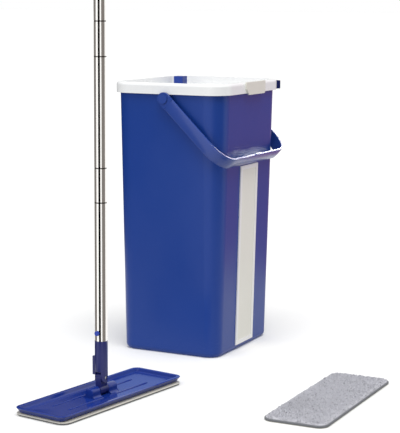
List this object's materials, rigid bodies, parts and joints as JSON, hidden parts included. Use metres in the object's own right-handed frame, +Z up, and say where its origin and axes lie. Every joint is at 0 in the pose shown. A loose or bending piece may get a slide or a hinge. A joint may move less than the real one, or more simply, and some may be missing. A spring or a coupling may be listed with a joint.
{
  "type": "mop and bucket with wringer",
  "caption": "Flat mop with a jointed steel pole and washable pad, and a tall square bucket whose lift-off top washes and wrings it.",
  "frame": {"origin": "centre of the bucket's base, on the floor", "axes": "+Z up, the bucket's front with its upright strip faces -Y, the mop stands on the -X side"},
  "size_m": [0.6255, 0.4609, 1.1361],
  "materials": {
    "blue_plastic": "satin moulded polypropylene",
    "navy_plastic": "satin moulded plastic",
    "white_plastic": "semi-gloss moulded polypropylene",
    "cream_plastic": "satin moulded plastic",
    "steel_tube": "bright drawn stainless tube",
    "steel_pin": "plain steel",
    "joiner_plastic": "plain moulded plastic",
    "blade_rubber": "soft rubber",
    "pad_pile": "heathered looped microfibre",
    "pad_backing": "knitted loop backing",
    "hook_tape": "hook tape"
  },
  "bodies": {
    "bucket": {"bucket_shell": "blue_plastic", "strip_border": "white_plastic", "strip_panel": "cream_plastic", "bail_rivets": "navy_plastic"},
    "bail": {"bail_handle": "blue_plastic"},
    "wringer": {"rim_frame": "white_plastic", "wash_chute": "white_plastic", "wringer_cassette": "blue_plastic", "cassette_screws": "steel_pin", "scraper_blades": "blade_rubber", "front_clip": "cream_plastic", "corner_tab": "navy_plastic"},
    "mop_head": {"mop_plate": "blue_plastic", "tilt_pin": "steel_pin", "hook_strips": "hook_tape", "mop_pad_backing": "pad_backing", "mop_pad_pile": "pad_pile"},
    "swivel": {"swivel_block": "navy_plastic", "fold_pin": "steel_pin"},
    "handle": {"pole_socket": "navy_plastic", "pole_rod_1": "steel_tube", "pole_rod_2": "steel_tube", "pole_rod_3": "steel_tube", "pole_rod_4": "steel_tube", "pole_rod_5": "steel_tube", "rod_connectors": "joiner_plastic", "hand_grip": "blue_plastic", "button_spring": "steel_pin"},
    "slide": {"lock_slide": "navy_plastic"},
    "button": {"snap_button": "blue_plastic"},
    "spare_pad": {"spare_pad_backing": "pad_backing", "spare_pad_pile": "pad_pile"}
  },
  "joints": [
    {"name": "bail_swing", "type": "hinge", "parent": "bucket", "child": "bail", "pos_m": [0, 0, 0.3967], "axis": [-1, 0, 0], "range_deg": [0, 265]},
    {"name": "wringer_lift", "type": "slide", "parent": "bucket", "child": "wringer", "axis": [0, 0, 1], "range_m": [0, 0.32]},
    {"name": "mop_lift", "type": "slide", "parent": "bucket", "child": "mop_head", "axis": [0, 0, 1], "range_m": [0, 0.45]},
    {"name": "head_tilt", "type": "hinge", "parent": "mop_head", "child": "swivel", "pos_m": [-0.369, -0.037, 0.014], "axis": [0.9877, -0.1564, 0], "range_deg": [-55, 55]},
    {"name": "handle_fold", "type": "hinge", "parent": "swivel", "child": "handle", "pos_m": [-0.369, -0.037, 0.0315], "axis": [-0.1564, -0.9877, 0], "range_deg": [-28, 90]},
    {"name": "lock_slide_travel", "type": "slide", "parent": "handle", "child": "slide", "axis": [0, 0, -1], "range_m": [0, 0.006]},
    {"name": "snap_button_press", "type": "slide", "parent": "handle", "child": "button", "axis": [0.9877, -0.1564, 0], "range_m": [0, 0.003], "stiffness_N_per_m": 600, "springref_m": -0.001, "deforming": ["button_spring"]},
    {"name": "spare_pad_lift", "type": "slide", "parent": "bucket", "child": "spare_pad", "axis": [0, 0, 1], "range_m": [0, 0.45]}
  ]
}
